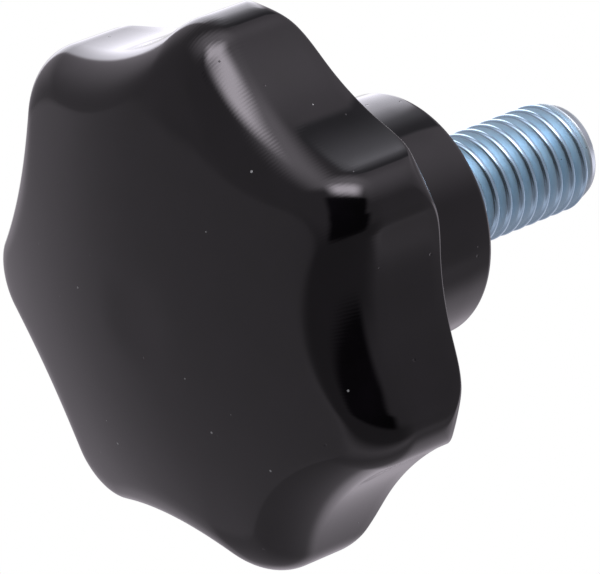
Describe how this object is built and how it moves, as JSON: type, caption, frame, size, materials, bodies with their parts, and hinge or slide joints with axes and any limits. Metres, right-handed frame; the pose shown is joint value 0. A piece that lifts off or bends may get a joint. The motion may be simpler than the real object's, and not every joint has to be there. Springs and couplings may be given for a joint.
{
  "type": "star knob with threaded stud",
  "caption": "Star-shaped clamping knob in black plastic with scalloped sides, a crowned face and a round hub, with a moulded-in threaded steel stud.",
  "frame": {"origin": "centre of the hub's end face, the face that seats on the work, on the stud's axis", "axes": "+Z along the stud towards its tip; +X through the middle of a lobe; the crowned face looks along -Z and the knob stands on it"},
  "size_m": [0.0383, 0.0392, 0.0406],
  "materials": {
    "knob_plastic": "black glossy thermoset moulding",
    "zinc_plate": "zinc plated, blue passivated, rolled thread"
  },
  "bodies": {
    "root": {"knob_body": "knob_plastic", "threaded_stud": "zinc_plate"}
  },
  "joints": []
}
